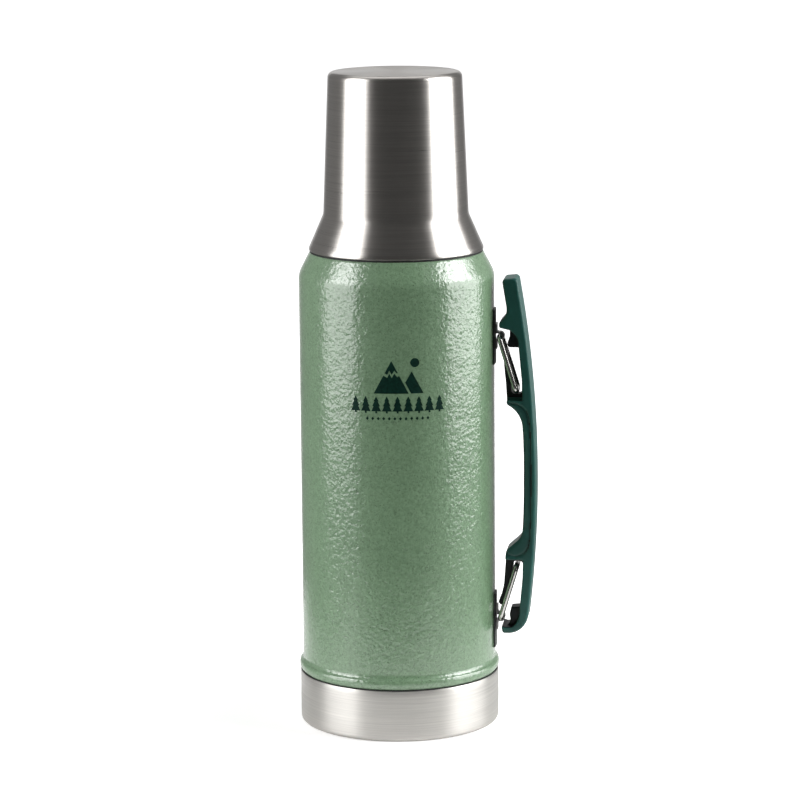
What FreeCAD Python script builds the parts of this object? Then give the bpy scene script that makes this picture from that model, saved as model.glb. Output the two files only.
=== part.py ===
import FreeCAD, Part
import math
import os

import Sketcher

# A double-walled steel vacuum flask with a screw-on cup, a screw-in stopper and a fold-away
# carrying handle that hangs on two wire bails. Millimetres. The origin is the centre of the
# flat base, +Z is up the flask's own axis and the handle is on the +X side.

SIZES = {
    # Outer shell, from the foot up.
    "body_radius": 53.4,
    "shell_wall": 0.5,
    "shell_foot": 3.5,
    "bead_foot": 29.2,
    "bead_radius": 55.5,
    "bead_top": 36.6,
    "shoulder_foot": 247.4,
    "shoulder_round": 12.0,
    "cone_radius": 52.1,
    "cone_foot": 252.9,
    "seam_radius": 47.4,
    "seam_height": 262.1,
    "neck_radius": 31.0,
    "rim_height": 283.8,
    # Steel base cup.
    "base_radius": 55.0,
    "base_height": 28.6,
    "base_wall": 0.7,
    "base_round": 2.4,
    "groove_inner": 30.0,
    "groove_outer": 38.0,
    "groove_depth": 0.7,
    # Bottom closure, evacuation hole and getter.
    "closure_height": 6.0,
    "dimple_radius": 7.0,
    "dimple_rise": 2.2,
    "vent_radius": 2.0,
    "pellet_radius": 5.0,
    "getter_offset": 25.0,
    # Inner bottle.
    "inner_radius": 46.0,
    "inner_wall": 0.45,
    "inner_floor": 13.3,
    "inner_round": 10.0,
    "inner_shoulder": 231.0,
    "bore_radius": 27.0,
    "bore_foot": 250.0,
    # Thread collar and seam gasket.
    "collar_root": 34.4,
    "collar_crest": 36.0,
    "collar_top": 279.5,
    "gasket_inner": 36.6,
    "gasket_radius": 47.2,
    "gasket_thick": 0.9,
    "thread_pitch": 4.5,
    # Cup.
    "cup_foot": 263.15,
    "cup_lip_radius": 47.6,
    "cup_lip_top": 264.5,
    "waist_low_radius": 40.4,
    "waist_low": 281.0,
    "waist_radius": 39.55,
    "waist_high": 284.0,
    "cup_top_radius": 36.5,
    "cup_top_round": 3.0,
    "overall_height": 360.0,
    "cup_wall": 0.5,
    "liner_inset": 2.6,
    "liner_wall": 0.45,
    "ring_root": 38.2,
    "ring_crest": 36.6,
    # Stopper.
    "plug_foot": 243.0,
    "plug_radius": 24.8,
    "plug_wall": 2.2,
    "plug_crest": 26.5,
    "flange_radius": 30.5,
    "flange_foot": 284.1,
    "flange_top": 289.0,
    "knob_radius": 29.5,
    "knob_top": 311.5,
    "knob_wall": 2.4,
    "knob_round": 3.0,
    "flute_radius": 4.0,
    "flute_centre": 32.0,
    "flute_foot": 291.5,
    "flute_count": 12,
    "seal_foot": 246.5,
    "seal_height": 4.0,
    "seal_root": 23.4,
    "seal_radius": 26.75,
    # Brackets and bails.
    "plate_wall": 1.0,
    "plate_width": 12.0,
    "plate_height": 30.2,
    "upper_plate": 215.6,
    "lower_plate": 57.0,
    "clip_wall": 0.8,
    "clip_width": 6.2,
    "clip_height": 14.0,
    "pivot_reach": 56.8,
    "upper_pivot": 215.8,
    "lower_pivot": 58.3,
    "wire_radius": 1.5,
    "wire_play": 0.05,
    "wire_gap": 0.4,
    "bail_length": 31.2,
    "bail_width": 13.0,
    "bail_round": 2.6,
    "bail_lean": 17.0,
    # Handle.
    "handle_width": 18.0,
    "web_width": 9.0,
    "spine_round": 640.0,
    "handle_mid_reach": 76.8,
    "handle_mid_height": 135.0,
    "palm_reach": 69.9,
    "palm_round": 450.0,
}


class Size:
    """A length together with the spreadsheet expression that it comes from."""

    def __init__(self, value, text=None):
        self.value = float(value)
        self.text = f"{value:g}" if text is None else text

    def __add__(self, other):
        other = as_size(other)
        return Size(self.value + other.value, f"({self.text} + {other.text})")

    def __sub__(self, other):
        other = as_size(other)
        return Size(self.value - other.value, f"({self.text} - {other.text})")

    def __mul__(self, other):
        other = as_size(other)
        return Size(self.value * other.value, f"({self.text} * {other.text})")

    def __truediv__(self, other):
        other = as_size(other)
        return Size(self.value / other.value, f"({self.text} / {other.text})")

    def __neg__(self):
        return Size(-self.value, f"(0 - {self.text})")

    def root(self):
        return Size(math.sqrt(self.value), f"sqrt({self.text})")


class Corner:
    """A corner of an outline. The edge that arrives at it is straight, or an arc of the given
    radius that turns left (+1) or right (-1)."""

    def __init__(self, across, up, radius=None, turn=0):
        self.across = as_size(across)
        self.up = as_size(up)
        self.radius = None if radius is None else as_size(radius)
        self.turn = turn

    def vector(self):
        return FreeCAD.Vector(self.across.value, self.up.value, 0)


def as_size(number):
    return number if isinstance(number, Size) else Size(number)


def size(alias):
    return Size(SIZES[alias], f"sizes.{alias}")


doc = FreeCAD.newDocument("vacuum_flask")
sheet = doc.addObject("Spreadsheet::Sheet", "sizes")
for row, (alias, number) in enumerate(SIZES.items(), start=1):
    sheet.set(f"A{row}", alias)
    sheet.set(f"B{row}", str(number))
    sheet.setAlias(f"B{row}", alias)
doc.recompute()


def new_body(label):
    body = doc.addObject("PartDesign::Body", label)
    body.Label = label
    return body


def origin_feature(body, role):
    return next(f for f in body.Origin.OriginFeatures if f.Role == role)


def new_sketch(body, role, name, offset=None):
    """A sketch on one of the body's origin planes, lifted along the plane's normal by offset."""
    sketch = body.newObject("Sketcher::SketchObject", f"{body.Name}_{name}")
    sketch.AttachmentSupport = (origin_feature(body, role), [""])
    sketch.MapMode = "FlatFace"
    if offset is not None:
        offset = as_size(offset)
        lift = FreeCAD.Vector(0, 0, offset.value)
        sketch.AttachmentOffset = FreeCAD.Placement(lift, FreeCAD.Rotation())
        sketch.setExpression("AttachmentOffset.Base.z", offset.text)
    return sketch


def bind(sketch, kind, where, length):
    index = sketch.addConstraint(Sketcher.Constraint(kind, *where, length.value))
    sketch.setExpression(f"Constraints[{index}]", length.text)


def arc_between(start, end, radius, turn):
    """The arc from start to end, as geometry, which a sketch always runs anticlockwise."""
    chord = end - start
    half = chord.Length / 2
    rise = math.sqrt(max(radius * radius - half * half, 0))
    left = FreeCAD.Vector(-chord.y, chord.x, 0).normalize()
    centre = (start + end) / 2 + left * (rise * turn)
    first, last = (start, end) if turn > 0 else (end, start)
    angles = [math.atan2(p.y - centre.y, p.x - centre.x) for p in (first, last)]
    circle = Part.Circle(centre, FreeCAD.Vector(0, 0, 1), radius)
    return Part.ArcOfCircle(circle, *angles)


def pin(sketch, edge, end, corner):
    """Holds one end of an edge at a corner, by two dimensions or on the sketch's own axes."""
    if corner.across.value == 0:
        sketch.addConstraint(Sketcher.Constraint("PointOnObject", edge, end, -2))
    else:
        bind(sketch, "DistanceX", (-1, 1, edge, end), corner.across)
    if corner.up.value == 0:
        sketch.addConstraint(Sketcher.Constraint("PointOnObject", edge, end, -1))
    else:
        bind(sketch, "DistanceY", (-1, 1, edge, end), corner.up)


def draw(sketch, corners, closed=True):
    """Draws straight edges and arcs through the corners, dimensioned from the origin."""
    steps = list(zip(corners, corners[1:]))
    if closed:
        steps.append((corners[-1], corners[0]))
    ends = []
    for start, end in steps:
        if end.radius is None:
            edge = sketch.addGeometry(Part.LineSegment(start.vector(), end.vector()))
            ends.append((edge, 1, 2))
            continue
        arc = arc_between(start.vector(), end.vector(), end.radius.value, end.turn)
        edge = sketch.addGeometry(arc)
        ends.append((edge, 1, 2) if end.turn > 0 else (edge, 2, 1))
        bind(sketch, "Radius", (edge,), end.radius)
    for index, (edge, _, tail) in enumerate(ends):
        following = index + 1
        if following == len(ends):
            if not closed:
                break
            following = 0
        after, head, _ = ends[following]
        sketch.addConstraint(Sketcher.Constraint("Coincident", edge, tail, after, head))
    for (edge, _, tail), (_, end) in zip(ends, steps):
        pin(sketch, edge, tail, end)
    if not closed:
        edge, head, _ = ends[0]
        pin(sketch, edge, head, corners[0])


def revolve(body, corners, name="turning"):
    """Turns a profile of (radius, height) corners about the body's Z axis."""
    sketch = new_sketch(body, "XZ_Plane", name)
    draw(sketch, corners)
    turned = body.newObject("PartDesign::Revolution", f"{body.Name}_{name}_solid")
    turned.Profile = sketch
    turned.ReferenceAxis = (sketch, ["V_Axis"])
    turned.Angle = 360
    body.Tip = turned
    return turned


def add_thread(body, root, crest, foot, turns):
    """Winds a trapezoid thread ridge round the body's Z axis, from root out or in to crest."""
    pitch = size("thread_pitch")
    sketch = new_sketch(body, "XZ_Plane", "thread")
    inward = 1 if root.value < crest.value else -1
    bury = root - Size(0.3 * inward)
    draw(
        sketch,
        [
            Corner(bury, foot),
            Corner(crest, foot + pitch * 0.2),
            Corner(crest, foot + pitch * 0.36),
            Corner(bury, foot + pitch * 0.56),
        ],
    )
    helix = body.newObject("PartDesign::AdditiveHelix", f"{body.Name}_thread_ridge")
    helix.Profile = sketch
    helix.ReferenceAxis = (sketch, ["V_Axis"])
    helix.Mode = "pitch-turns-angle"
    helix.Turns = turns
    helix.setExpression("Pitch", pitch.text)
    body.Tip = helix
    return helix


def pad(body, sketch, length, symmetric=False):
    solid = body.newObject("PartDesign::Pad", f"{sketch.Name}_pad")
    solid.Profile = sketch
    solid.Length = length.value
    solid.setExpression("Length", length.text)
    if symmetric:
        solid.SideType = "Symmetric"
    body.Tip = solid
    return solid


def pocket(body, sketch, length, symmetric=False, outward=False):
    cut = body.newObject("PartDesign::Pocket", f"{sketch.Name}_pocket")
    cut.Profile = sketch
    cut.Length = length.value
    cut.setExpression("Length", length.text)
    if symmetric:
        cut.SideType = "Symmetric"
    cut.Reversed = outward
    body.Tip = cut
    return cut


# ---- The bottle -------------------------------------------------------------------------


def outer_shell():
    """Painted steel shell: a straight wall on a rolled bead, a coned shoulder and the neck."""
    body = new_body("outer_shell")
    wall = size("shell_wall")
    outer, inner = size("body_radius"), size("body_radius") - wall
    neck_inner = size("neck_radius") - wall
    rim = size("rim_height") - size("shell_wall")
    bead, bead_foot, bead_top = size("bead_radius"), size("bead_foot"), size("bead_top")
    ledge = size("seam_height")
    rounding = size("shoulder_round")
    revolve(
        body,
        [
            Corner(inner, size("shell_foot")),
            Corner(outer, size("shell_foot")),
            Corner(outer, bead_foot),
            Corner(bead - Size(0.7), bead_foot),
            Corner(bead - Size(0.7), bead_top - Size(2.6), 4.5, 1),
            Corner(outer, bead_top, 3.2, -1),
            Corner(outer, size("shoulder_foot")),
            Corner(size("cone_radius"), size("cone_foot"), rounding, 1),
            Corner(size("seam_radius"), ledge),
            Corner(size("neck_radius"), ledge),
            Corner(size("neck_radius"), rim),
            Corner(neck_inner, rim),
            Corner(neck_inner, ledge - wall),
            Corner(size("seam_radius") - wall * 0.69, ledge - wall),
            Corner(size("cone_radius") - wall * 0.9, size("cone_foot") - wall * 0.46),
            Corner(inner, size("shoulder_foot"), rounding - wall, -1),
        ],
    )
    return body


def base_cup():
    """Brushed steel cup pushed over the foot of the shell, with a pressed ring under it."""
    body = new_body("base_cup")
    radius, wall, rounding = size("base_radius"), size("base_wall"), size("base_round")
    depth = size("groove_depth")
    near, far = size("groove_inner"), size("groove_outer")
    revolve(
        body,
        [
            Corner(0, 0),
            Corner(near, 0),
            Corner(near + depth, depth),
            Corner(far - depth, depth),
            Corner(far, 0),
            Corner(radius - rounding, 0),
            Corner(radius, rounding, rounding, 1),
            Corner(radius, size("base_height")),
            Corner(radius - wall, size("base_height")),
            Corner(radius - wall, rounding),
            Corner(radius - rounding, wall, rounding - wall, -1),
            Corner(far, wall),
            Corner(far - depth, wall + depth),
            Corner(near + depth, wall + depth),
            Corner(near, wall),
            Corner(0, wall),
        ],
    )
    return body


def base_seal_ring():
    """Dark sealing ring that fills the joint between the bead and the base cup's edge."""
    body = new_body("base_seal_ring")
    shell, cup = size("body_radius"), size("base_radius")
    edge = size("base_height")
    revolve(
        body,
        [
            Corner(shell, edge - Size(3)),
            Corner(cup - size("base_wall"), edge - Size(3)),
            Corner(cup - size("base_wall"), edge),
            Corner(cup - Size(0.25), edge),
            Corner(cup - Size(0.25), size("bead_foot")),
            Corner(shell, size("bead_foot")),
        ],
    )
    return body


def outer_bottom():
    """Closure welded into the shell's foot, dimpled round the evacuation hole."""
    body = new_body("outer_bottom")
    wall, height = size("shell_wall"), size("closure_height")
    outer = size("body_radius") - wall
    dimple, rise, vent = size("dimple_radius"), size("dimple_rise"), size("vent_radius")
    revolve(
        body,
        [
            Corner(vent, height + rise),
            Corner(dimple, height + rise),
            Corner(dimple + rise, height),
            Corner(outer - wall, height),
            Corner(outer - wall, size("shell_foot")),
            Corner(outer, size("shell_foot")),
            Corner(outer, height + wall),
            Corner(dimple + rise, height + wall),
            Corner(dimple, height + rise + wall),
            Corner(vent, height + rise + wall),
        ],
    )
    return body


def vacuum_seal():
    """Braze pellet that closes the evacuation hole."""
    body = new_body("vacuum_seal")
    vent, under = size("vent_radius"), size("closure_height") + size("dimple_rise")
    revolve(
        body,
        [
            Corner(0, under - Size(1.2)),
            Corner(vent + Size(1.2), under - Size(1.2)),
            Corner(vent + Size(2.4), under, 1.2, 1),
            Corner(vent, under),
            Corner(vent, under + size("shell_wall")),
            Corner(0, under + size("shell_wall")),
        ],
    )
    return body


def getter_clip():
    """Pressed ring under the inner bottle that holds the getter pellet."""
    body = new_body("getter_clip")
    pellet, top = size("pellet_radius"), size("inner_floor")
    revolve(
        body,
        [
            Corner(pellet - Size(0.9), top - Size(3.4)),
            Corner(pellet + Size(0.5), top - Size(3.4)),
            Corner(pellet + Size(0.5), top - Size(0.5)),
            Corner(pellet + Size(2.0), top - Size(0.5)),
            Corner(pellet + Size(2.0), top),
            Corner(pellet, top),
            Corner(pellet, top - Size(2.9)),
            Corner(pellet - Size(0.9), top - Size(2.9)),
        ],
    )
    place(body, size("getter_offset"), Size(0), Size(0))
    return body


def getter_pellet():
    """Getter that keeps the vacuum, held in its clip."""
    body = new_body("getter_pellet")
    pellet, top = size("pellet_radius"), size("inner_floor")
    revolve(
        body,
        [
            Corner(0, top - Size(2.9)),
            Corner(pellet, top - Size(2.9)),
            Corner(pellet, top - Size(0.1)),
            Corner(0, top - Size(0.1)),
        ],
    )
    place(body, size("getter_offset"), Size(0), Size(0))
    return body


def inner_bottle():
    """Steel inner bottle, joined to the shell at the rolled rim of the neck."""
    body = new_body("inner_bottle")
    outer, wall = size("inner_radius"), size("inner_wall")
    floor, rounding = size("inner_floor"), size("inner_round")
    bore, bore_foot = size("bore_radius"), size("bore_foot")
    shoulder, rim = size("inner_shoulder"), size("rim_height")
    shell_rim = rim - size("shell_wall")
    revolve(
        body,
        [
            Corner(0, floor),
            Corner(outer - rounding, floor),
            Corner(outer, floor + rounding, rounding, 1),
            Corner(outer, shoulder),
            Corner(outer - Size(6.2), shoulder + Size(9.0), 12.0, 1),
            Corner(bore + wall, bore_foot),
            Corner(bore + wall, shell_rim),
            Corner(size("neck_radius"), shell_rim),
            Corner(size("neck_radius"), rim),
            Corner(bore, rim),
            Corner(bore, bore_foot - wall * 0.57),
            Corner(outer - wall * 0.57 - Size(6.2), shoulder + Size(9.0) - wall * 0.86),
            Corner(outer - wall, shoulder, Size(12.0) - wall, -1),
            Corner(outer - wall, floor + rounding),
            Corner(outer - rounding, floor + wall, rounding - wall, -1),
            Corner(0, floor + wall),
        ],
    )
    return body


def neck_collar():
    """Moulded collar round the neck, with the outside thread that the cup screws on to."""
    body = new_body("neck_collar")
    root, foot, top = size("collar_root"), size("seam_height"), size("collar_top")
    revolve(
        body,
        [
            Corner(size("neck_radius"), foot),
            Corner(root, foot),
            Corner(root, top - Size(1.0)),
            Corner(root - Size(1.0), top, 1.0, 1),
            Corner(size("neck_radius"), top),
        ],
    )
    add_thread(body, root, size("collar_crest"), foot + Size(2.5), 2.5)
    return body


def seam_gasket():
    """Flat rubber ring on the shoulder that the cup closes down on to."""
    body = new_body("seam_gasket")
    foot = size("seam_height")
    revolve(
        body,
        [
            Corner(size("gasket_inner"), foot),
            Corner(size("gasket_radius"), foot),
            Corner(size("gasket_radius"), foot + size("gasket_thick")),
            Corner(size("gasket_inner"), foot + size("gasket_thick")),
        ],
    )
    return body


# ---- The cup ----------------------------------------------------------------------------


def cup_shell():
    """Brushed steel outside of the cup: a flared skirt, a soft waist and a tapered wall."""
    body = new_body("cup_shell")
    wall = size("cup_wall")
    lip, foot, lip_top = size("cup_lip_radius"), size("cup_foot"), size("cup_lip_top")
    low_r, low = size("waist_low_radius"), size("waist_low")
    high_r, high = size("waist_radius"), size("waist_high")
    top_r, rounding = size("cup_top_radius"), size("cup_top_round")
    top = size("overall_height")
    revolve(
        body,
        [
            Corner(lip - wall, foot),
            Corner(lip, foot),
            Corner(lip, lip_top),
            Corner(low_r, low),
            Corner(high_r, high, 9.0, -1),
            Corner(top_r, top - rounding),
            Corner(top_r - rounding, top, rounding, 1),
            Corner(0, top),
            Corner(0, top - wall),
            Corner(top_r - rounding, top - wall),
            Corner(top_r - wall, top - rounding, rounding - wall, -1),
            Corner(high_r - wall, high),
            Corner(low_r - wall, low - Size(0.2), 9.8, 1),
            Corner(lip - wall, lip_top - Size(0.2)),
        ],
    )
    return body


def cup_liner():
    """Steel drinking liner inside the cup, with an air gap behind it."""
    body = new_body("cup_liner")
    inset, wall = size("liner_inset"), size("liner_wall")
    foot_r, top_r = size("waist_radius") - inset, size("cup_top_radius") - inset
    top = size("overall_height") - inset
    foot, rounding = size("waist_high"), Size(4.0)
    revolve(
        body,
        [
            Corner(foot_r - wall, foot),
            Corner(foot_r, foot),
            Corner(top_r, top - rounding),
            Corner(top_r - rounding, top, rounding, 1),
            Corner(0, top),
            Corner(0, top - wall),
            Corner(top_r - rounding, top - wall),
            Corner(top_r - wall, top - rounding, rounding - wall, -1),
        ],
    )
    return body


def cup_thread_ring():
    """Moulded ring in the cup's skirt, with the inside thread for the neck collar."""
    body = new_body("cup_thread_ring")
    wall = size("cup_wall")
    foot, top = size("cup_foot") + Size(0.4), size("waist_high")
    root = size("ring_root")
    low_r, low = size("waist_low_radius"), size("waist_low")
    lip, lip_top = size("cup_lip_radius"), size("cup_lip_top")
    revolve(
        body,
        [
            Corner(root, foot),
            Corner(lip - wall, foot),
            Corner(lip - wall, lip_top - Size(0.2)),
            Corner(low_r - wall - Size(0.2), low - Size(0.2)),
            Corner(size("waist_radius") - wall - Size(0.5), top),
            Corner(root - Size(2.1), top),
            Corner(root - Size(2.1), top - Size(1.6)),
            Corner(root, top - Size(2.6)),
        ],
    )
    add_thread(body, root, size("ring_crest"), foot + Size(1.0), 2.5)
    return body


# ---- The stopper ------------------------------------------------------------------------


def stopper_body():
    """Hollow threaded plug with the flange that covers the neck's rim."""
    body = new_body("stopper_body")
    plug, wall, foot = size("plug_radius"), size("plug_wall"), size("plug_foot")
    flange, under, top = size("flange_radius"), size("flange_foot"), size("flange_top")
    seal, seal_r = size("seal_foot"), size("seal_root")
    seal_top = seal + size("seal_height")
    seat = size("knob_radius") - Size(3.5)
    revolve(
        body,
        [
            Corner(0, foot),
            Corner(plug - Size(1.5), foot),
            Corner(plug, foot + Size(1.5), 1.5, 1),
            Corner(plug, seal),
            Corner(seal_r, seal),
            Corner(seal_r, seal_top),
            Corner(plug, seal_top),
            Corner(plug, under),
            Corner(flange, under),
            Corner(flange, top - Size(0.8)),
            Corner(flange - Size(0.8), top, 0.8, 1),
            Corner(seat, top),
            Corner(seat, top - Size(2.5)),
            Corner(plug - wall, top - Size(2.5)),
            Corner(plug - wall, foot + wall),
            Corner(0, foot + wall),
        ],
    )
    add_thread(body, plug, size("plug_crest"), seal_top + Size(6), 3.5)
    return body


def stopper_insulation():
    """Foam core that fills the stopper."""
    body = new_body("stopper_insulation")
    radius = size("plug_radius") - size("plug_wall")
    foot = size("plug_foot") + size("plug_wall")
    revolve(
        body,
        [
            Corner(0, foot),
            Corner(radius, foot),
            Corner(radius, size("flange_top") - Size(2.5)),
            Corner(0, size("flange_top") - Size(2.5)),
        ],
    )
    return body


def stopper_seal():
    """Silicone lip ring in the plug's groove."""
    body = new_body("stopper_seal")
    root, lip, foot = size("seal_root"), size("seal_radius"), size("seal_foot")
    top = foot + size("seal_height")
    revolve(
        body,
        [
            Corner(root, foot),
            Corner(lip - Size(1.0), foot),
            Corner(lip - Size(0.35), foot + Size(0.9), 1.2, 1),
            Corner(lip - Size(1.1), foot + Size(2.0), 1.2, 1),
            Corner(lip, foot + Size(3.1), 1.5, -1),
            Corner(lip - Size(0.8), top, 1.2, 1),
            Corner(root, top),
        ],
    )
    return body


def stopper_knob():
    """Hollow knob on the stopper, fluted for the fingers."""
    body = new_body("stopper_knob")
    radius, wall, rounding = size("knob_radius"), size("knob_wall"), size("knob_round")
    seat, foot, top = radius - Size(3.5), size("flange_top"), size("knob_top")
    revolve(
        body,
        [
            Corner(seat - wall, foot - Size(2.5)),
            Corner(seat, foot - Size(2.5)),
            Corner(seat, foot),
            Corner(radius, foot),
            Corner(radius, top - rounding),
            Corner(radius - rounding, top, rounding, 1),
            Corner(radius * 0.5, top),
            Corner(radius * 0.42, top - Size(1.2)),
            Corner(0, top - Size(1.2)),
            Corner(0, top - Size(1.2) - wall),
            Corner(seat - wall, top - Size(1.2) - wall),
        ],
    )
    sketch = new_sketch(body, "XY_Plane", "flute", size("flute_foot"))
    flute = sketch.addGeometry(
        Part.Circle(
            FreeCAD.Vector(SIZES["flute_centre"], 0, 0),
            FreeCAD.Vector(0, 0, 1),
            SIZES["flute_radius"],
        )
    )
    sketch.addConstraint(Sketcher.Constraint("PointOnObject", flute, 3, -1))
    bind(sketch, "DistanceX", (-1, 1, flute, 3), size("flute_centre"))
    bind(sketch, "Radius", (flute,), size("flute_radius"))
    cut = pocket(body, sketch, top - size("flute_foot") + Size(1), outward=True)
    doc.recompute()
    ring = body.newObject("PartDesign::PolarPattern", "stopper_knob_flutes")
    ring.Originals = [cut]
    ring.Axis = (sketch, ["N_Axis"])
    ring.Angle = 360
    ring.Occurrences = SIZES["flute_count"]
    body.Tip = ring
    return body


# ---- Brackets, bails and handle -----------------------------------------------------------


def place(body, across, depth, up, lean=None):
    """Puts a body's own frame at a point, turned about Y by lean degrees."""
    angle = 0 if lean is None else lean.value
    turn = FreeCAD.Rotation(FreeCAD.Vector(0, 1, 0), angle)
    body.Placement = FreeCAD.Placement(
        FreeCAD.Vector(across.value, depth.value, up.value), turn
    )
    for axis, length in (("x", across), ("y", depth), ("z", up)):
        body.setExpression(f"Placement.Base.{axis}", length.text)
    if lean is not None:
        body.setExpression("Placement.Rotation.Angle", lean.text)


def bracket_plate(label, centre):
    """Curved steel plate spot-welded to the shell behind one bail."""
    body = new_body(label)
    near = size("body_radius")
    far, half = near + size("plate_wall"), size("plate_width") / 2
    near_x = (near * near - half * half).root()
    far_x = (far * far - half * half).root()
    height = size("plate_height")
    sketch = new_sketch(body, "XY_Plane", "section", -(height / 2))
    draw(
        sketch,
        [
            Corner(near_x, -half, near, -1),
            Corner(far_x, -half),
            Corner(far_x, half, far, 1),
            Corner(near_x, half),
        ],
    )
    pad(body, sketch, height)
    place(body, Size(0), Size(0), centre)
    return body


def hinge_clip(label, pivot):
    """Strap bent over the bail's crossbar, with a foot above and below on the plate."""
    body = new_body(label)
    wall, half = size("clip_wall"), size("clip_height") / 2
    bore = size("wire_radius") + size("wire_play")
    back = size("body_radius") + size("plate_wall")
    reach = size("pivot_reach")
    sketch = new_sketch(body, "XZ_Plane", "strap")
    draw(
        sketch,
        [
            Corner(back, -half),
            Corner(back + wall, -half),
            Corner(back + wall, -(bore + wall) - Size(0.6)),
            Corner(reach - Size(0.3), -(bore + wall), 1.2, -1),
            Corner(reach, -(bore + wall)),
            Corner(reach + bore + wall, 0, bore + wall, 1),
            Corner(reach, bore + wall, bore + wall, 1),
            Corner(reach - Size(0.3), bore + wall),
            Corner(back + wall, bore + wall + Size(0.6), 1.2, -1),
            Corner(back + wall, half),
            Corner(back, half),
            Corner(back, bore),
            Corner(reach, bore),
            Corner(reach + bore, 0, bore, -1),
            Corner(reach, -bore, bore, -1),
            Corner(back, -bore),
        ],
    )
    pad(body, sketch, size("clip_width"), symmetric=True)
    place(body, Size(0), Size(0), pivot)
    return body


def bail(label, pivot, lean):
    """Closed wire loop: one crossbar turns in the clip, the other slides in the handle."""
    body = new_body(label)
    half, bend = size("bail_width") / 2, size("bail_round")
    length, gap = size("bail_length"), size("wire_gap") / 2
    path = new_sketch(body, "YZ_Plane", "path")
    draw(
        path,
        [
            Corner(gap, 0),
            Corner(half - bend, 0),
            Corner(half, bend, bend, 1),
            Corner(half, length - bend),
            Corner(half - bend, length, bend, 1),
            Corner(-(half - bend), length),
            Corner(-half, length - bend, bend, 1),
            Corner(-half, bend),
            Corner(-(half - bend), 0, bend, 1),
            Corner(-gap, 0),
        ],
        closed=False,
    )
    section = new_sketch(body, "XZ_Plane", "section", -gap)
    ring = section.addGeometry(
        Part.Circle(
            FreeCAD.Vector(0, 0, 0), FreeCAD.Vector(0, 0, 1), SIZES["wire_radius"]
        )
    )
    section.addConstraint(Sketcher.Constraint("Coincident", ring, 3, -1, 1))
    bind(section, "Radius", (ring,), size("wire_radius"))
    wire = body.newObject("PartDesign::AdditivePipe", f"{label}_wire")
    wire.Profile = section
    wire.Spine = (path, [f"Edge{number}" for number in range(1, 10)])
    wire.Mode = "Frenet"
    wire.Transition = "Round corner"
    body.Tip = wire
    place(body, size("pivot_reach"), Size(0), pivot, lean)
    return body


def lower_hook(reach, lower):
    """The handle's lower end: round foot, hook tip, stop block, open slot and free rail."""
    return [
        Corner(reach - 14.3, lower - 7.7, 11.8, -1),
        Corner(reach - 16.8, lower - 7.7),
        Corner(reach - 18.9, lower - 5.6, 2.1, -1),
        Corner(reach - 19.1, lower - 4.1),
        Corner(reach - 18.3, lower - 3.6, 0.6, -1),
        Corner(reach - 16.6, lower - 4.1, 2.8, 1),
        Corner(reach - 14.5, lower - 0.6, 4.0, 1),
        Corner(reach - 15.0, lower + 2.2),
        Corner(reach - 14.1, lower + 6.2),
        Corner(reach - 9.1, lower + 6.6),
        Corner(reach - 8.2, lower + 16.2),
        Corner(reach - 7.5, lower + 23.7),
        Corner(reach - 7.4, lower + 30.2),
        Corner(reach - 9.6, lower + 32.4, 2.2, 1),
        Corner(reach - 11.3, lower + 32.4),
        Corner(reach - 12.9, lower + 30.8, 1.6, 1),
        Corner(reach - 14.1, lower + 20.4),
        Corner(reach - 17.7, lower + 9.0, 60.0, -1),
        Corner(reach - 18.6, lower + 7.8, 1.4, -1),
        Corner(reach - 20.5, lower + 8.2, 1.1, -1),
        Corner(reach - 21.0, lower + 9.4, 1.4, -1),
        Corner(reach - 18.0, lower + 19.8, 40.0, 1),
        Corner(reach - 17.2, lower + 30.3),
        Corner(reach - 16.8, lower + 37.0),
        Corner(reach - 15.5, lower + 39.9, 4.1, -1),
        Corner(reach - 10.0, lower + 44.8),
    ]


def upper_hook(reach, upper):
    """The handle's upper end: free rail, open slot, stop block, nub and the end that
    stands clear above it."""
    return [
        Corner(reach - 15.2, upper - 37.4, 14.6, 1),
        Corner(reach - 16.1, upper - 35.6, 1.8, -1),
        Corner(reach - 16.8, upper - 24.1),
        Corner(reach - 17.9, upper - 8.4, 120.0, -1),
        Corner(reach - 17.0, upper - 7.0, 1.2, -1),
        Corner(reach - 16.0, upper - 7.6, 0.9, -1),
        Corner(reach - 14.2, upper - 25.7),
        Corner(reach - 13.7, upper - 29.5),
        Corner(reach - 11.5, upper - 31.7, 2.2, 1),
        Corner(reach - 9.8, upper - 31.7),
        Corner(reach - 7.6, upper - 29.5, 2.2, 1),
        Corner(reach - 7.7, upper - 23.4),
        Corner(reach - 8.5, upper - 14.7),
        Corner(reach - 9.3, upper - 5.9),
        Corner(reach - 14.7, upper - 5.9),
        Corner(reach - 15.8, upper - 3.4, 2.4, -1),
        Corner(reach - 14.6, upper + 0.2),
        Corner(reach - 14.4, upper + 4.3),
        Corner(reach - 19.2, upper + 5.4),
        Corner(reach - 20.0, upper + 6.4, 1.0, -1),
        Corner(reach - 20.0, upper + 7.9),
        Corner(reach - 19.4, upper + 8.8, 1.2, -1),
        Corner(reach - 17.1, upper + 11.5),
        Corner(reach - 16.0, upper + 16.7, 7.0, 1),
        Corner(reach - 18.2, upper + 30.3),
        Corner(reach - 16.2, upper + 32.5, 2.1, -1),
        Corner(reach - 11.9, upper + 32.9),
        Corner(reach - 9.6, upper + 30.6, 2.3, -1),
    ]


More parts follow.
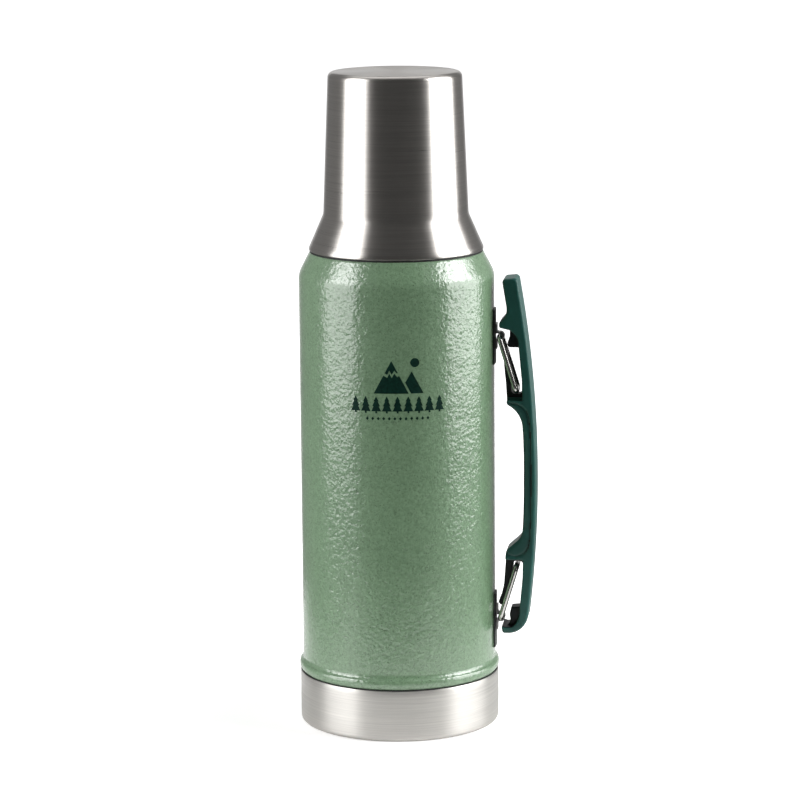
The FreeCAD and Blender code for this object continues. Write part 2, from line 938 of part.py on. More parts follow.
def handle_outline():
    """Side view of the whole handle, clockwise: down the bowed spine, round the lower hook,
    up the palm and round the upper hook."""
    reach, palm = size("handle_mid_reach"), size("palm_reach")
    spine, bow, mid = size("spine_round"), size("palm_round"), size("handle_mid_height")
    upper, lower = size("upper_pivot"), size("lower_pivot")
    return [
        Corner(reach, mid, spine, -1),
        Corner(reach - 4.2, lower + 3.7, spine, -1),
        *lower_hook(reach, lower),
        Corner(palm - 0.6, lower + 50.6, 8.0, 1),
        Corner(palm, mid, bow, 1),
        Corner(palm - 0.5, upper - 50.3, bow, 1),
        *upper_hook(reach, upper),
    ]


def handle_recesses():
    """Side pockets that narrow the web at each end, where the bails' strands lie."""
    upper, lower = size("upper_pivot"), size("lower_pivot")
    reach = size("handle_mid_reach")
    return [
        [
            Corner(reach - 26.0, upper - 34.7),
            Corner(reach - 7.1, upper - 34.7),
            Corner(reach - 7.6, upper - 29.5),
            Corner(reach - 7.7, upper - 23.4),
            Corner(reach - 8.5, upper - 14.7),
            Corner(reach - 9.4, upper - 4.7),
            Corner(reach - 14.4, upper + 4.3, 9.0, 1),
            Corner(reach - 26.0, upper + 4.3),
        ],
        [
            Corner(reach - 26.0, lower - 2.0),
            Corner(reach - 18.7, lower - 2.0),
            Corner(reach - 16.6, lower - 4.1, 3.2, 1),
            Corner(reach - 13.2, lower - 3.9),
            Corner(reach - 9.2, lower + 3.0, 8.0, 1),
            Corner(reach - 9.1, lower + 6.6),
            Corner(reach - 8.2, lower + 16.2),
            Corner(reach - 7.5, lower + 23.7),
            Corner(reach - 7.3, lower + 34.0),
            Corner(reach - 26.0, lower + 34.0),
        ],
    ]


def handle_body():
    """Moulded handle: a bowed grip with a slotted, narrowed web at each end."""
    body = new_body("handle_body")
    width, web = size("handle_width"), size("web_width")
    outline = new_sketch(body, "XZ_Plane", "outline")
    draw(outline, handle_outline())
    pad(body, outline, width, symmetric=True)
    for side in (1, -1):
        for number, corners in enumerate(handle_recesses(), start=1):
            name = f"recess_{number}_{'near' if side > 0 else 'far'}"
            sketch = new_sketch(body, "XZ_Plane", name, web / 2 * side)
            draw(sketch, corners)
            pocket(body, sketch, width / 2, outward=side > 0)
    return body


# ---- Build, check and write ---------------------------------------------------------------

pieces = [
    outer_shell(),
    base_cup(),
    base_seal_ring(),
    outer_bottom(),
    vacuum_seal(),
    getter_clip(),
    getter_pellet(),
    inner_bottle(),
    neck_collar(),
    seam_gasket(),
    cup_shell(),
    cup_liner(),
    cup_thread_ring(),
    stopper_body(),
    stopper_insulation(),
    stopper_seal(),
    stopper_knob(),
    handle_body(),
]
for end in ("upper", "lower"):
    pivot = size(f"{end}_pivot")
    lean = size("bail_lean")
    pieces.append(bracket_plate(f"{end}_bracket_plate", size(f"{end}_plate")))
    pieces.append(hinge_clip(f"{end}_hinge_clip", pivot))
    pieces.append(bail(f"{end}_bail", pivot, Size(180) - lean if end == "upper" else lean))

doc.recompute()
problems = []
for item in doc.Objects:
    if any(state in ("Invalid", "Error") for state in item.State):
        problems.append(f"{item.Name} is {item.State}")
for piece in pieces:
    if piece.Shape.isNull() or not piece.Shape.isValid() or not piece.Shape.Solids:
        problems.append(f"{piece.Label} has no valid solid")
if problems:
    raise SystemExit("\n".join(problems))

os.makedirs("parts", exist_ok=True)
for piece in pieces:
    piece.Shape.exportStep(f"parts/{piece.Label}.step")
    box = piece.Shape.BoundBox
    print(
        f"{piece.Label:20s} {piece.Shape.Volume:10.1f} mm3  solids {len(piece.Shape.Solids)}"
        f"  x {box.XMin:6.1f} {box.XMax:6.1f}  y {box.YMin:6.1f} {box.YMax:6.1f}"
        f"  z {box.ZMin:6.1f} {box.ZMax:6.1f}"
    )
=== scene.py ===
import math

import bpy
import bmesh
import numpy as np
from mathutils import Matrix, Vector


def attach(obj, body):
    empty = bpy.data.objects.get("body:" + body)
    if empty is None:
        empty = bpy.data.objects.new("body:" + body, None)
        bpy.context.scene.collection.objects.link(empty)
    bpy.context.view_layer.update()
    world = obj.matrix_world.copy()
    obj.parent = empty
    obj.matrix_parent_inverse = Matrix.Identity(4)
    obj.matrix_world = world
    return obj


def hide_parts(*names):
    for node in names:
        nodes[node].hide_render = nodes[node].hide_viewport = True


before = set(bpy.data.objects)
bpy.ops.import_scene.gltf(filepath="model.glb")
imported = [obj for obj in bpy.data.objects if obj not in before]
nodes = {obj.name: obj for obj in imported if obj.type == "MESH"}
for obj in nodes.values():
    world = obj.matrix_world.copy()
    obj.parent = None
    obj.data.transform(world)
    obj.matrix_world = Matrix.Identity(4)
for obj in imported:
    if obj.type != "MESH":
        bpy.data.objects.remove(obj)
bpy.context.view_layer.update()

MM = 0.001

# Sizes in millimetres, in the CAD frame.
BODY_RADIUS = 53.4
SHELL_WALL = 0.5
SHELL_FOOT = 3.5
BEAD_TOP = 36.6
SHOULDER_FOOT = 247.4
CONE_RADIUS = 52.1
CONE_FOOT = 252.9
SEAM_RADIUS = 47.6
SEAM_HEIGHT = 262.1
NECK_RADIUS = 31.0
NECK_TOP = 283.0
BASE_RADIUS = 55.0
BASE_TOP = 28.6
BASE_WALL = 0.7
CUP_RADIUS = 36.5
CUP_TOP = 360.0
HANDLE_HALF_WIDTH = 9.0
WEB_HALF_WIDTH = 4.5
HANDLE_REACH = 76.8
HANDLE_MIDDLE = 135.0
SPINE_ROUND = 640.0

CAMERA_AZIMUTH = 6.7
CAMERA_DISTANCE = 1870.9
CAMERA_HEIGHT = 523.4
CAMERA_PITCH = 10.424
CAMERA_ROLL = -0.475
CAMERA_LENS = 155.73
CAMERA_SHIFT = 0.0031


# ---- Profiles and lathed pieces --------------------------------------------------------

SHARP_ANGLE = 35


def arc(start, end, radius, turn, steps):
    """Points from start to end, without start, on an arc that turns left (1) or right (-1)."""
    a, b = np.array(start, float), np.array(end, float)
    chord = b - a
    length = np.linalg.norm(chord)
    rise = math.sqrt(max(radius * radius - length * length / 4, 0.0))
    normal = np.array([-chord[1], chord[0]]) / length
    centre = (a + b) / 2 + normal * rise * turn
    first = math.atan2(*(a - centre)[::-1])
    sweep = 2 * math.asin(min(1.0, length / 2 / radius)) * turn
    return [
        tuple(centre + radius * np.array([math.cos(first + sweep * k / steps),
                                          math.sin(first + sweep * k / steps)]))
        for k in range(1, steps + 1)
    ]


def profile(corners, spacing=None):
    """Outline from corners (r, z) or (r, z, radius, turn[, steps]); a straight run longer than
    spacing gets points in between."""
    points = [corners[0][:2]]
    for corner in corners[1:]:
        start, end = points[-1], corner[:2]
        if len(corner) > 2:
            steps = corner[4] if len(corner) > 4 else 10
            points += arc(start, end, corner[2], corner[3], steps)
            continue
        length = math.dist(start, end)
        steps = max(1, math.ceil(length / spacing)) if spacing else 1
        for k in range(1, steps + 1):
            points.append(tuple(np.add(start, np.subtract(end, start) * k / steps)))
    return points


def new_piece(name, verts, faces):
    """A smooth-shaded mesh object whose hard edges stay sharp."""
    mesh = bpy.data.meshes.new(name)
    mesh.from_pydata([tuple(v) for v in verts], [], faces)
    mesh.validate()
    mesh.update()
    piece = bpy.data.objects.new(name, mesh)
    bpy.context.scene.collection.objects.link(piece)
    mesh.shade_smooth()
    mesh.set_sharp_from_angle(angle=math.radians(SHARP_ANGLE))
    return piece


def lathe(name, outline, segments, shift=None):
    """Turns a closed outline about Z. shift(theta, radius, z) moves each point radially."""
    outline = np.array(outline, float)
    on_axis = outline[:, 0] < 1e-6
    theta = np.arange(segments) * 2 * math.pi / segments
    verts, rows = [], []
    for (radius, height), alone in zip(outline, on_axis):
        start = len(verts)
        if alone:
            verts.append((0.0, 0.0, height * MM))
            rows.append([start] * segments)
            continue
        reach = np.full(segments, radius)
        if shift is not None:
            reach = reach + shift(theta, radius, height)
        ring = np.stack([reach * np.cos(theta), reach * np.sin(theta)], 1) * MM
        verts += [(x, y, height * MM) for x, y in ring]
        rows.append(list(range(start, start + segments)))
    faces = []
    count = len(rows)
    closed = not (on_axis[0] and on_axis[-1])
    for i in range(count if closed else count - 1):
        low, high = rows[i], rows[(i + 1) % count]
        for k in range(segments):
            loop = [low[k], low[(k + 1) % segments], high[(k + 1) % segments], high[k]]
            loop = list(dict.fromkeys(loop))
            if len(loop) > 2:
                faces.append(loop)
    return new_piece(name, verts, faces)


# ---- Repeatable surface relief -----------------------------------------------------------


def lattice(seed, columns, rows):
    return np.random.default_rng(seed).uniform(-1, 1, (rows, columns))


def wave_field(values, u, v):
    """Smooth noise: u in turns wraps round the table's columns, v counts its rows."""
    rows, columns = values.shape
    x, y = u % 1.0 * columns, v % rows
    i, j = np.floor(x).astype(int), np.floor(y).astype(int)
    fx, fy = x - i, y - j
    fx, fy = fx * fx * (3 - 2 * fx), fy * fy * (3 - 2 * fy)
    i0, i1 = i % columns, (i + 1) % columns
    j0, j1 = j % rows, (j + 1) % rows
    low = values[j0, i0] * (1 - fx) + values[j0, i1] * fx
    high = values[j1, i0] * (1 - fx) + values[j1, i1] * fx
    return low * (1 - fy) + high * fy


RIPPLE_LAYERS = (
    (lattice(11, 280, 200), 1.15, 0.042),
    (lattice(12, 164, 120), 2.0, 0.036),
    (lattice(13, 48, 40), 7.0, 0.030),
)


def enamel_relief(theta, height):
    """Height of the hammered enamel in millimetres at an angle and a level."""
    turns = np.asarray(theta) / (2 * math.pi)
    total = np.zeros_like(turns)
    for values, pitch, depth in RIPPLE_LAYERS:
        total = total + depth * wave_field(values, turns, np.full_like(turns, height / pitch))
    return total


# ---- Materials ------------------------------------------------------------------------------


class Shader:
    """A Principled material whose constants sit on its own sockets, with helpers for nodes."""

    def __init__(self, name, colour, metallic=0.0, roughness=0.5, **sockets):
        self.material = bpy.data.materials.new(name)
        self.material.use_nodes = True
        self.tree = self.material.node_tree
        self.base = self.tree.nodes["Principled BSDF"]
        self.base.inputs["Base Color"].default_value = (*colour, 1.0)
        self.base.inputs["Metallic"].default_value = metallic
        self.base.inputs["Roughness"].default_value = roughness
        for socket, value in sockets.items():
            self.base.inputs[socket.replace("_", " ")].default_value = value
        self.where = self.add("ShaderNodeTexCoord").outputs["Object"]

    def add(self, kind, **settings):
        made = self.tree.nodes.new(kind)
        for name, value in settings.items():
            setattr(made, name, value)
        return made

    def link(self, source, target):
        self.tree.links.new(source, target)

    def stretched(self, x, y, z):
        """Object coordinates in metres, scaled on each axis."""
        mapping = self.add("ShaderNodeMapping")
        mapping.inputs["Scale"].default_value = (x, y, z)
        self.link(self.where, mapping.inputs["Vector"])
        return mapping.outputs["Vector"]

    def noise(self, scale, detail=2.0, rough=0.5, distortion=0.0, vector=None):
        made = self.add("ShaderNodeTexNoise")
        made.inputs["Scale"].default_value = scale
        made.inputs["Detail"].default_value = detail
        made.inputs["Roughness"].default_value = rough
        made.inputs["Distortion"].default_value = distortion
        self.link(vector or self.where, made.inputs["Vector"])
        return made.outputs["Fac"]

    def cells(self, scale, smooth):
        made = self.add("ShaderNodeTexVoronoi", feature="SMOOTH_F1")
        made.inputs["Scale"].default_value = scale
        made.inputs["Smoothness"].default_value = smooth
        self.link(self.where, made.inputs["Vector"])
        return made.outputs["Distance"]

    def combine(self, first, second, operation="ADD"):
        made = self.add("ShaderNodeMath", operation=operation)
        for slot, value in enumerate((first, second)):
            if isinstance(value, (int, float)):
                made.inputs[slot].default_value = value
            else:
                self.link(value, made.inputs[slot])
        return made.outputs["Value"]

    def mixture(self, *parts):
        """Sum of two (factor, weight) parts."""
        return self.combine(*(self.combine(*part, "MULTIPLY") for part in parts))

    def ramp(self, source, *stops):
        """Colour or grey stops (position, value) along a factor."""
        made = self.add("ShaderNodeValToRGB")
        marks = made.color_ramp.elements
        while len(marks) < len(stops):
            marks.new(0.5)
        for mark, (position, value) in zip(marks, stops):
            mark.position = position
            mark.color = (value, value, value, 1) if isinstance(value, float) else (*value, 1)
        self.link(source, made.inputs["Fac"])
        return made.outputs["Color"]

    def blend(self, factor, first, second):
        made = self.add("ShaderNodeMix", data_type="RGBA")
        for slot, value in ((0, factor), (6, first), (7, second)):
            if isinstance(value, float):
                made.inputs[slot].default_value = value
            elif isinstance(value, tuple):
                made.inputs[slot].default_value = (*value, 1.0)
            else:
                self.link(value, made.inputs[slot])
        return made.outputs[2]

    def colour(self, source):
        self.link(source, self.base.inputs["Base Color"])

    def roughness(self, source):
        self.link(source, self.base.inputs["Roughness"])

    def bump(self, height, strength, distance):
        made = self.add("ShaderNodeBump")
        made.inputs["Strength"].default_value = strength
        made.inputs["Distance"].default_value = distance
        self.link(height, made.inputs["Height"])
        for layer in ("Normal", "Coat Normal"):
            self.link(made.outputs["Normal"], self.base.inputs[layer])


def hammered_enamel():
    """Sage green enamel with a hammered skin and fine dark flecks."""
    s = Shader("hammered_enamel", (0.19, 0.32, 0.165), 0.0, 0.5,
               Coat_Weight=1.0, Coat_Roughness=0.06, Coat_IOR=1.85)
    fine = s.noise(620.0, 2.0, 0.55, 0.6)
    pits = s.cells(520.0, 0.7)
    height = s.mixture((fine, 0.75), (pits, 0.45))
    s.bump(height, 0.8, 0.00030)
    flecks = s.ramp(s.noise(1250.0, 3.0, 0.7), (0.32, 0.0), (0.44, 1.0))
    cloud = s.ramp(s.noise(26.0, 3.0, 0.5), (0.35, (0.164, 0.286, 0.158)),
                   (0.65, (0.198, 0.332, 0.190)))
    valley = s.ramp(fine, (0.35, (0.130, 0.232, 0.125)), (0.62, (0.232, 0.376, 0.222)))
    mixed = s.blend(0.5, cloud, valley)
    s.colour(s.blend(flecks, (0.065, 0.118, 0.058), mixed))
    s.roughness(s.ramp(s.noise(300.0, 2.0, 0.5), (0.3, 0.44), (0.7, 0.56)))
    return s.material


HAIRLINES = 3200.0


def brushed_steel(name, tone, rough):
    """Steel brushed round Z: hairlines that run round the axis, and gloss drawn out across
    them."""
    s = Shader(name, tone, 1.0, rough, Anisotropic=0.75, Anisotropic_Rotation=0.25)
    tangent = s.add("ShaderNodeTangent", direction_type="RADIAL", axis="Z")
    s.link(tangent.outputs["Tangent"], s.base.inputs["Tangent"])
    hair = s.noise(1.0, 4.0, 0.75, 0.0, s.stretched(24.0, 24.0, HAIRLINES))
    broad = s.noise(1.0, 3.0, 0.6, 0.0, s.stretched(9.0, 9.0, HAIRLINES * 0.4))
    both = s.mixture((hair, 0.65), (broad, 0.35))
    dark = tuple(c * 0.86 for c in tone)
    light = tuple(min(1.0, c * 1.10) for c in tone)
    s.colour(s.ramp(both, (0.36, dark), (0.64, light)))
    s.roughness(s.ramp(both, (0.3, rough * 0.92), (0.7, rough * 1.1)))
    s.bump(both, 0.03, 0.000005)
    return s.material


def drawn_steel(name, tone, rough):
    """Bright drawn steel with faint uneven gloss and small scuffs."""
    s = Shader(name, tone, 1.0, rough)
    scuff = s.noise(420.0, 4.0, 0.7)
    s.roughness(s.ramp(scuff, (0.35, rough * 0.75), (0.7, rough * 1.5)))
    s.colour(s.ramp(s.noise(60.0, 2.0), (0.3, tuple(c * 0.85 for c in tone)), (0.7, tone)))
    s.bump(scuff, 0.1, 0.00002)
    return s.material


def moulded(name, tone, rough, grain=1400.0, depth=0.00004, gloss=0.5):
    """Moulded plastic or rubber: a fine spark-eroded grain over a slight cloudiness."""
    s = Shader(name, tone, 0.0, rough, Specular_IOR_Level=gloss)
    cloud = s.noise(45.0, 3.0, 0.5)
    low, high = tuple(c * 0.84 for c in tone), tuple(min(1.0, c * 1.16) for c in tone)
    s.colour(s.ramp(cloud, (0.3, low), (0.7, high)))
    skin = s.noise(grain, 3.0, 0.6)
    s.roughness(s.ramp(skin, (0.3, rough * 0.85), (0.7, min(1.0, rough * 1.2))))
    s.bump(skin, 0.35, depth)
    return s.material


def print_ink():
    """Dark green print, slightly uneven where it sits on the hammered skin."""
    s = Shader("print_ink", (0.001, 0.025, 0.014), 0.0, 0.5, Specular_IOR_Level=0.12)
    fine = s.noise(620.0, 2.0, 0.55, 0.8)
    s.colour(s.ramp(fine, (0.30, (0.001, 0.015, 0.010)), (0.7, (0.004, 0.033, 0.022))))
    s.bump(fine, 0.45, 0.00018)
    return s.material


def open_foam():
    s = Shader("foam", (0.80, 0.74, 0.58), 0.0, 0.9)
    s.bump(s.cells(900.0, 0.2), 0.8, 0.0004)
    s.colour(s.ramp(s.noise(500.0, 2.0), (0.3, (0.68, 0.60, 0.44)), (0.7, (0.84, 0.79, 0.64))))
    return s.material


ENAMEL = hammered_enamel()
STEEL = brushed_steel("brushed_steel", (0.60, 0.575, 0.545), 0.29)
# The base's steel is a lighter tone than the cup's; the extra lightness is painted reflection of the
# pale floor.
LIGHTENED_BASE_STEEL = brushed_steel("base_steel_painted_reflection", (0.68, 0.66, 0.63), 0.36)
INNER_STEEL = drawn_steel("inner_steel", (0.62, 0.61, 0.59), 0.2)
WIRE_STEEL = drawn_steel("wire_steel", (0.74, 0.73, 0.70), 0.14)
CLIP_STEEL = drawn_steel("clip_steel", (0.34, 0.335, 0.33), 0.32)
# The bracket plates are near-black all over.
BRACKET = moulded("bracket_near_black", (0.022, 0.026, 0.025), 0.42, 900.0)
HANDLE = moulded("handle_plastic", (0.017, 0.100, 0.084), 0.36, 1500.0, 0.00003, 0.5)
# Near-black core plastic, also used as painted shade deep in the handle's slots and on every face
# towards the body.
CORE_BLACK_AND_SHADE = moulded("core_black_and_painted_shade", (0.008, 0.012, 0.012), 0.42, 1500.0, 0.00003, 0.35)
RUBBER = moulded("black_rubber", (0.012, 0.012, 0.012), 0.62, 1200.0)
STOPPER = moulded("stopper_plastic", (0.010, 0.045, 0.034), 0.5, 1300.0)
RING = moulded("ring_plastic", (0.02, 0.02, 0.02), 0.55, 1300.0)
SILICONE = moulded("silicone", (0.50, 0.52, 0.52), 0.55, 700.0)
BRAZE = drawn_steel("braze", (0.48, 0.43, 0.32), 0.4)
GETTER = moulded("getter_powder", (0.10, 0.10, 0.105), 0.8, 2200.0, 0.00008)
FOAM = open_foam()
INK = print_ink()

NODE_LOOKS = {
    "outer_bottom": INNER_STEEL, "vacuum_seal": BRAZE, "getter_clip": INNER_STEEL,
    "getter_pellet": GETTER, "inner_bottle": INNER_STEEL, "neck_collar": RING,
    "seam_gasket": RUBBER, "base_seal_ring": RUBBER, "cup_liner": INNER_STEEL,
    "cup_thread_ring": RING, "stopper_body": STOPPER, "stopper_insulation": FOAM,
    "stopper_seal": SILICONE, "stopper_knob": STOPPER, "upper_bracket_plate": BRACKET,
    "lower_bracket_plate": BRACKET, "upper_hinge_clip": CLIP_STEEL,
    "lower_hinge_clip": CLIP_STEEL, "upper_bail": WIRE_STEEL, "lower_bail": WIRE_STEEL,
}
for node_name, look in NODE_LOOKS.items():
    slots = nodes[node_name].material_slots
    for index in range(len(slots)):
        slots[index].material = look


def finish_piece(piece, body, slot, material, *replaced):
    piece.data.materials.clear()
    piece.data.materials.append(material)
    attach(piece, body)
    if replaced:
        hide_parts(*replaced)
    return piece


# ---- Bottle and cup -------------------------------------------------------------------------

ROW_PITCH = 0.75
NECK_STEEL_RADIUS = 46.9


def build_enamel_body():
    """Outer shell with the rolled bead, the rounded shoulder and the plain steel neck."""
    inner = BODY_RADIUS - SHELL_WALL
    neck_bore = NECK_RADIUS - SHELL_WALL
    outline = profile([
        (inner, SHELL_FOOT), (BODY_RADIUS, SHELL_FOOT), (BODY_RADIUS, 28.9),
        (54.3, 29.2, 0.9, -1, 4), (54.9, 30.0), (54.9, 34.2, 4.5, 1, 10),
        (BODY_RADIUS, BEAD_TOP, 3.2, -1, 8),
    ])
    outline += profile([(BODY_RADIUS, BEAD_TOP), (BODY_RADIUS, SHOULDER_FOOT)], ROW_PITCH)[1:]
    outline += profile([(BODY_RADIUS, SHOULDER_FOOT), (CONE_RADIUS, CONE_FOOT, 12.0, 1, 8)])[1:]
    outline += profile([(CONE_RADIUS, CONE_FOOT), (SEAM_RADIUS, 261.7)], ROW_PITCH)[1:]
    outline += profile([
        (SEAM_RADIUS, 261.7), (47.2, SEAM_HEIGHT), (NECK_RADIUS, SEAM_HEIGHT),
        (NECK_RADIUS, NECK_TOP), (neck_bore, NECK_TOP), (neck_bore, 261.6), (47.05, 261.6),
        (51.65, 252.67), (inner, SHOULDER_FOOT), (inner, SHELL_FOOT),
    ])[1:-1]

    def relief(theta, radius, height):
        inner_wall = radius < BODY_RADIUS - 0.1 and height < 240
        if radius < SEAM_RADIUS - 0.1 or not 29.0 < height < 261.8 or inner_wall:
            return np.zeros_like(theta)
        return enamel_relief(theta, height)

    return lathe("enamel_body", outline, 480, relief)


def build_base():
    """Base cup with its ring groove underneath."""
    rim = BASE_RADIUS - BASE_WALL
    outline = profile([
        (0, 0), (30.0, 0), (30.7, 0.7), (37.3, 0.7), (38.0, 0), (52.6, 0),
        (BASE_RADIUS, 2.4, 2.4, 1, 10), (BASE_RADIUS, 28.3), (54.7, BASE_TOP, 0.3, 1, 3),
        (rim, BASE_TOP), (rim, 2.4), (52.6, BASE_WALL, 1.7, -1, 6), (38.3, BASE_WALL),
        (37.6, 1.4), (30.4, 1.4), (29.7, BASE_WALL), (0, BASE_WALL),
    ], 4.0)
    return lathe("steel_base", outline, 256)


def build_cup():
    """Cup with its flared foot, open below."""
    roof = CUP_TOP - SHELL_WALL
    outline = profile([
        (47.1, 263.15), (47.3, 263.15), (47.6, 263.45, 0.3, 1, 3), (47.6, 264.5),
        (40.4, 281.0), (39.55, 284.0, 9.0, -1, 8), (CUP_RADIUS, 357.0),
        (33.5, CUP_TOP, 3.0, 1, 12), (0, CUP_TOP), (0, roof), (33.5, roof),
        (CUP_RADIUS - SHELL_WALL, 357.0, 2.5, -1, 6), (39.05, 284.0), (39.9, 280.9, 9.5, 1, 6),
        (47.1, 264.4),
    ], 3.0)
    return lathe("cup_skin", outline, 256)


def bare_neck(piece):
    """Leaves the ledge, the neck and the inside of the wall as bare steel."""
    mesh = piece.data
    mesh.materials.append(INNER_STEEL)
    for face in mesh.polygons:
        outward = face.normal.x * face.center.x + face.normal.y * face.center.y
        neck = math.hypot(face.center.x, face.center.y) < NECK_STEEL_RADIUS * MM
        inside = outward < 0 and face.center.z > 5 * MM
        face.material_index = int(neck or inside)


bare_neck(finish_piece(build_enamel_body(), "flask", "green_enamel", ENAMEL, "outer_shell"))
finish_piece(build_base(), "flask", "brushed_steel", LIGHTENED_BASE_STEEL, "base_cup")
finish_piece(build_cup(), "cup", "brushed_steel", STEEL, "cup_shell")


# ---- Handle -----------------------------------------------------------------------------------


def nearest_on(line, points):
    """Distance from each (x, z) point to a polyline, with the foot and the segment's direction."""
    line = np.array(line, float)
    best = np.full(len(points), 1e9)
    foot = np.zeros((len(points), 2))
    along = np.zeros((len(points), 2))
    for a, b in zip(line[:-1], line[1:]):
        edge = b - a
        t = np.clip((points - a) @ edge / (edge @ edge), 0, 1)
        spot = a + t[:, None] * edge
        gap = np.linalg.norm(points - spot, axis=1)
        near = gap < best
        best[near], foot[near] = gap[near], spot[near]
        along[near] = edge / np.linalg.norm(edge)
    return best, foot, along


def round_edge(verts, line, radius, side):
    """Rounds the two long edges where the handle's side faces meet the face along line.
    side is 1 where the material lies to the left of the line."""
    flat = verts[:, [0, 2]]
    gap, foot, along = nearest_on(line, flat)
    inward = np.stack([-along[:, 1], along[:, 0]], 1) * side
    depth = np.clip(((flat - foot) * inward).sum(1), 0, None)
    inset = HANDLE_HALF_WIDTH - np.abs(verts[:, 1])
    touched = (gap < radius) & (inset < radius) & (gap - depth < 0.3)
    u, v = depth - radius, inset - radius
    length = np.hypot(u, v)
    touched &= length > radius
    scale = radius / np.where(length > 0, length, 1)
    new_depth, new_inset = radius + u * scale, radius + v * scale
    move = (new_depth - depth)[:, None] * inward
    verts[touched, 0] += move[touched, 0]
    verts[touched, 2] += move[touched, 1]
    verts[touched, 1] = (np.sign(verts[:, 1]) * (HANDLE_HALF_WIDTH - new_inset))[touched]


PALM = profile([(60.0, 95.3), (61.3, 98.2, 4.1, -1), (66.8, 103.1), (69.3, 108.9, 8.0, 1),
                (69.9, 135.0, 450.0, 1), (69.4, 165.5, 450.0, 1), (61.6, 178.4, 14.6, 1),
                (60.7, 180.2, 1.8, -1)])
PALM_GRIP = (110.0, 164.0)
CHEEK_BAND = (92.0, 183.0)
GROOVE_DEPTH = 0.85
GROOVE_WIDTH = 0.5
PANEL_INSET = 0.55
WEB_REACH = 69.7
LOWER_WEB = (54.0, 92.2)
UPPER_WEB = (182.4, 220.0)
LIP_TOP = 58.0
LIP_REACH = 66.0
HOOK_TOP = 60.0
CHEEK = [(60.6, 95.2), (63.5, 94.2), (66.0, 94.0), (68.6, 95.0), (70.9, 96.9), (72.4, 99.8),
         (73.0, 103.5), (73.5, 115.0), (73.8, 135.0), (73.6, 155.0), (73.2, 166.0),
         (72.5, 172.0), (71.2, 175.6), (69.0, 178.0), (66.0, 179.3), (62.9, 179.9), (60.6, 180.6)]


def handle_rim():
    """The handle's outer edge in (x, z): lower hook, bowed spine, upper end and its nub."""
    hook = [(57.9, 52.7), (60.0, 50.6), (62.5, 50.6), (66.2, 51.4), (69.6, 53.9), (71.8, 57.6)]
    spine = []
    for height in np.arange(62.0, 246.0, 5.0):
        sag = SPINE_ROUND - math.sqrt(SPINE_ROUND ** 2 - (height - HANDLE_MIDDLE) ** 2)
        spine.append((HANDLE_REACH - sag, height))
    end = [(67.2, 246.4), (66.6, 247.9), (64.9, 248.7), (60.6, 248.3), (59.2, 247.7),
           (58.6, 246.1), (60.8, 232.5), (60.6, 229.4), (59.7, 227.3), (57.4, 224.6)]
    return hook + spine + end


def build_handle():
    """The CAD handle re-meshed finely, with softened edges, a rounded palm and the moulded
    line that parts the grip's cheeks from the outer band."""
    source = nodes["handle_body"]
    mesh = source.data.copy()
    piece = bpy.data.objects.new("handle_grip", mesh)
    bpy.context.scene.collection.objects.link(piece)
    build = bmesh.new()
    build.from_mesh(mesh)
    bmesh.ops.remove_doubles(build, verts=build.verts, dist=1e-6)
    build.to_mesh(mesh)
    build.free()
    remesh = piece.modifiers.new("remesh", "REMESH")
    remesh.mode = "VOXEL"
    remesh.voxel_size = 0.42 * MM
    smooth = piece.modifiers.new("smooth", "SMOOTH")
    smooth.factor = 0.5
    smooth.iterations = 3
    graph = bpy.context.evaluated_depsgraph_get()
    fine = bpy.data.meshes.new_from_object(piece.evaluated_get(graph))
    piece.modifiers.clear()
    piece.data = fine
    verts = np.zeros(len(fine.vertices) * 3)
    fine.vertices.foreach_get("co", verts)
    verts = verts.reshape(-1, 3) / MM

    round_edge(verts, handle_rim(), 1.5, 1)
    round_edge(verts, PALM, 1.8, -1)
    grip = (verts[:, 2] > PALM_GRIP[0]) & (verts[:, 2] < PALM_GRIP[1])
    held = verts[grip]
    round_edge(held, PALM, 3.2, -1)
    verts[grip] = held

    gap, foot, along = nearest_on(CHEEK, verts[:, [0, 2]])
    on_side = np.clip((np.abs(verts[:, 1]) - 7.8) / 0.8, 0, 1)
    groove = GROOVE_DEPTH * np.exp(-((gap / GROOVE_WIDTH) ** 2))
    inside = ((verts[:, [0, 2]] - foot) * np.stack([-along[:, 1], along[:, 0]], 1)).sum(1)
    panel = PANEL_INSET / (1 + np.exp(-inside / 0.25))
    band = (verts[:, 2] > CHEEK_BAND[0]) & (verts[:, 2] < CHEEK_BAND[1])
    verts[:, 1] -= np.sign(verts[:, 1]) * on_side * (groove + np.where(band, panel, 0.0))

    fine.vertices.foreach_set("co", (verts * MM).ravel())
    fine.update()
    fine.shade_smooth()
    return piece


def darken_web_and_paint_shade(piece):
    """Gives the black core plastic to the narrowed web inside each end and to the hook's lip; on the
    web it also stands for painted shade deep in the slots. Every face towards the body, one wall of
    the cheek groove included, gets the same black as painted shade."""
    mesh = piece.data
    mesh.materials.append(CORE_BLACK_AND_SHADE)
    middle = np.zeros(len(mesh.polygons) * 3)
    mesh.polygons.foreach_get("center", middle)
    x, y, z = middle.reshape(-1, 3).T / MM
    normal = np.zeros(len(mesh.polygons) * 3)
    mesh.polygons.foreach_get("normal", normal)
    facing, _, up = normal.reshape(-1, 3).T
    # On the web the black is partly painted shade for the depth of the slots.
    web = (np.abs(y) < WEB_HALF_WIDTH + 0.35) & (x < WEB_REACH)
    web &= (((z > LOWER_WEB[0]) & (z < LOWER_WEB[1]))
            | ((z > UPPER_WEB[0]) & (z < UPPER_WEB[1])))
    lip = (z < LIP_TOP) & (x < LIP_REACH) & (up > 0.3)
    # Faces towards the body get the black as painted shade.
    inner = (facing < -0.7) & (z > HOOK_TOP)
    mesh.polygons.foreach_set("material_index", (web | lip | inner).astype(int))


darken_web_and_paint_shade(finish_piece(build_handle(), "handle", "handle_plastic", HANDLE, "handle_body"))


